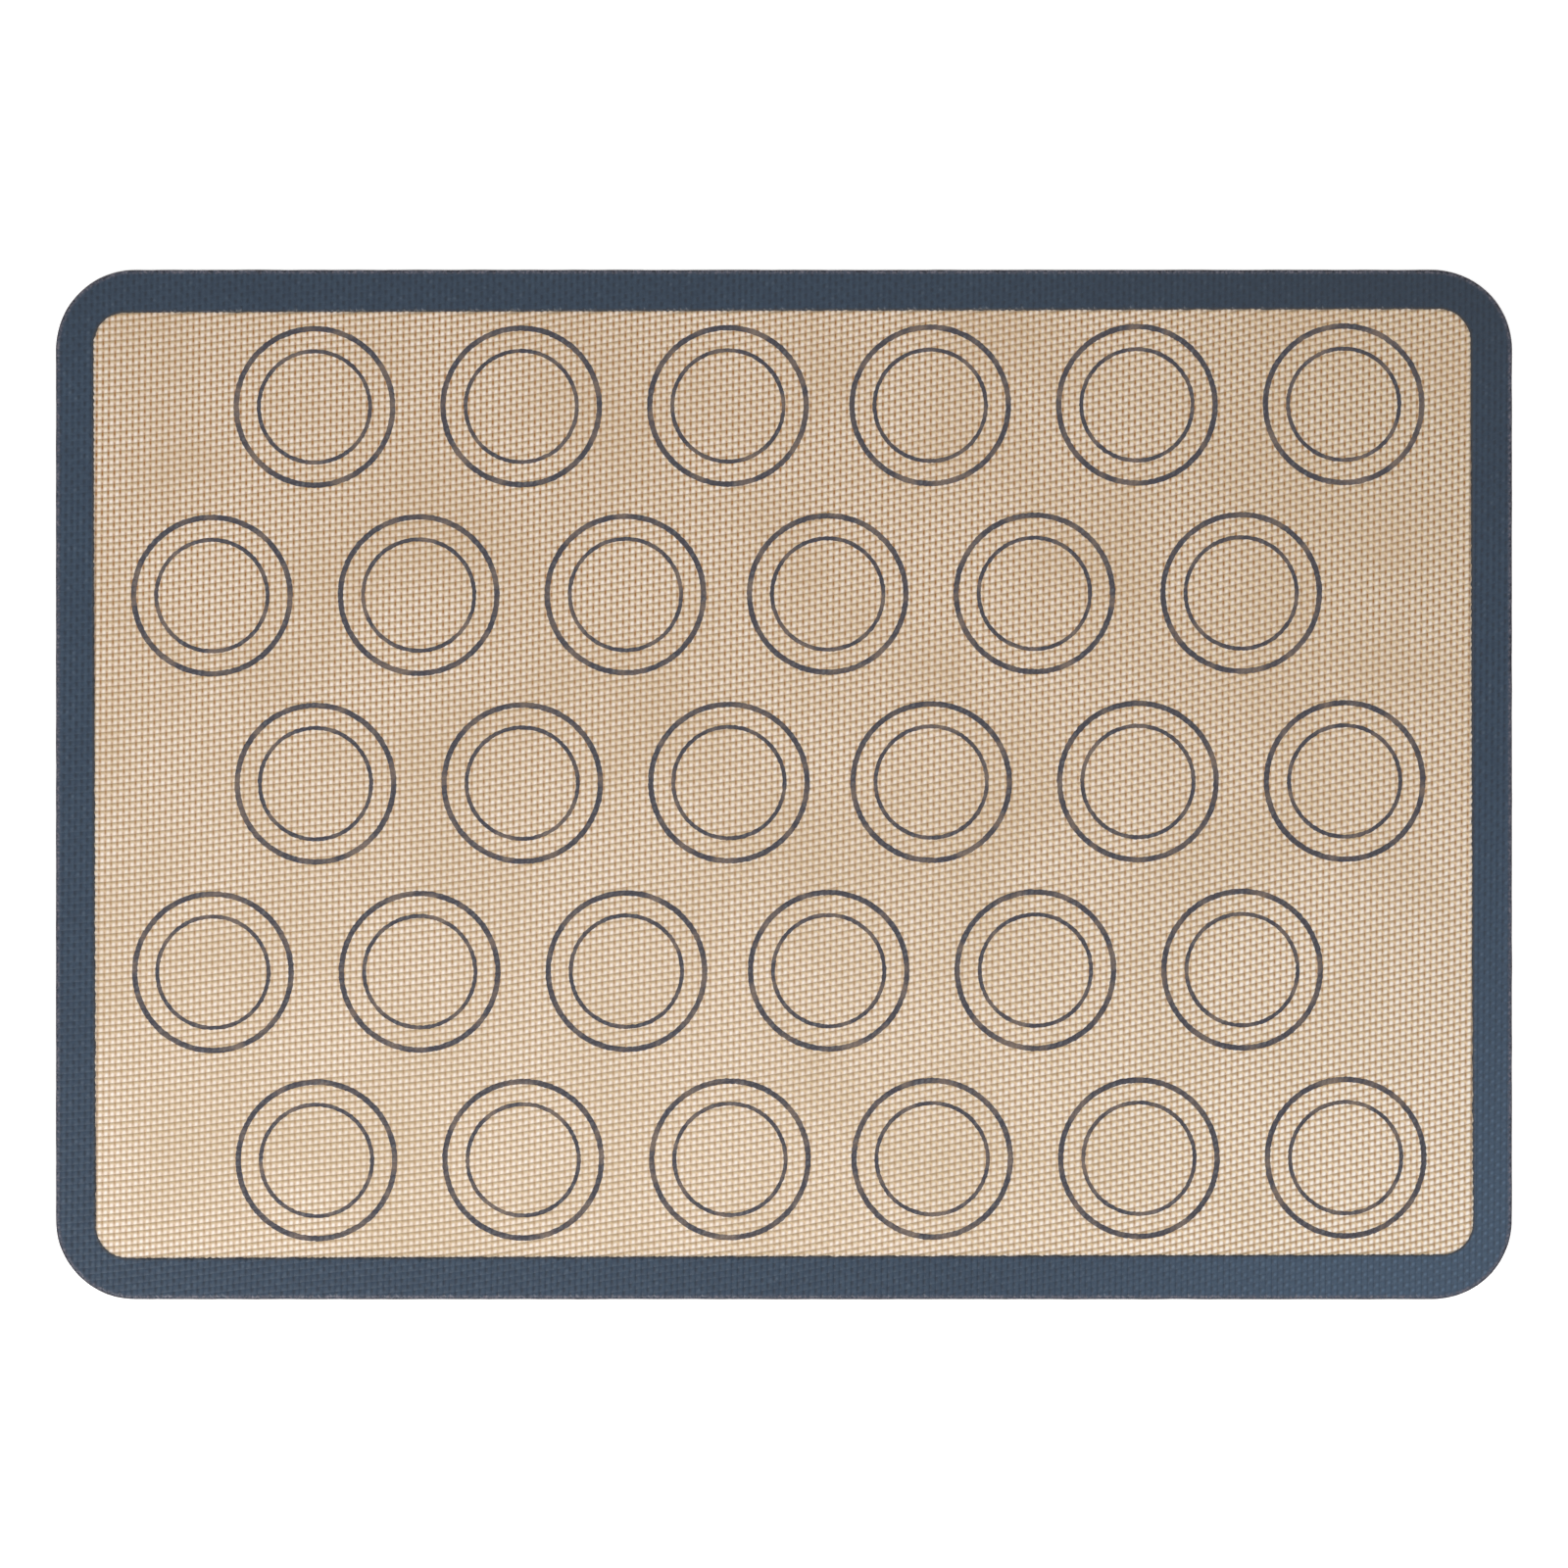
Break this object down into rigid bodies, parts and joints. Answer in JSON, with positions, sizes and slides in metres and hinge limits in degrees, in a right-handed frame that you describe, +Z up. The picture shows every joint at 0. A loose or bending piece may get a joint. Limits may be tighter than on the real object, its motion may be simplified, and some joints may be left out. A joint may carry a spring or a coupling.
{
  "type": "silicone baking mat",
  "caption": "Thin rectangular silicone-coated glass-cloth baking mat with rounded corners, a dark border and staggered double-ring portion guides.",
  "frame": {"origin": "middle of the underside, on the surface that the mat lies on", "axes": "+X along the long side to the right as the guides are read, +Y along the short side away from the baker, +Z up out of the printed baking face"},
  "size_m": [0.42, 0.297, 0.0008],
  "materials": {
    "tan_silicone": "satin, woven relief",
    "glass_yarn": "matte flat yarns",
    "slate_silicone": "satin print",
    "edge_silicone": "satin cut edge",
    "guide_print": "satin print"
  },
  "bodies": {
    "root": {"bottom_silicone_coat": "tan_silicone", "top_silicone_coat": "tan_silicone", "weft_glass_yarns": "glass_yarn", "warp_glass_yarns": "glass_yarn", "underside_border_band": "slate_silicone", "top_border_band": "slate_silicone", "edge_seal": "edge_silicone", "guide_row_1_place_1": "guide_print", "guide_row_1_place_2": "guide_print", "guide_row_1_place_3": "guide_print", "guide_row_1_place_4": "guide_print", "guide_row_1_place_5": "guide_print", "guide_row_1_place_6": "guide_print", "guide_row_2_place_1": "guide_print", "guide_row_2_place_2": "guide_print", "guide_row_2_place_3": "guide_print", "guide_row_2_place_4": "guide_print", "guide_row_2_place_5": "guide_print", "guide_row_2_place_6": "guide_print", "guide_row_3_place_1": "guide_print", "guide_row_3_place_2": "guide_print", "guide_row_3_place_3": "guide_print", "guide_row_3_place_4": "guide_print", "guide_row_3_place_5": "guide_print", "guide_row_3_place_6": "guide_print", "guide_row_4_place_1": "guide_print", "guide_row_4_place_2": "guide_print", "guide_row_4_place_3": "guide_print", "guide_row_4_place_4": "guide_print", "guide_row_4_place_5": "guide_print", "guide_row_4_place_6": "guide_print", "guide_row_5_place_1": "guide_print", "guide_row_5_place_2": "guide_print", "guide_row_5_place_3": "guide_print", "guide_row_5_place_4": "guide_print", "guide_row_5_place_5": "guide_print", "guide_row_5_place_6": "guide_print"}
  },
  "joints": []
}
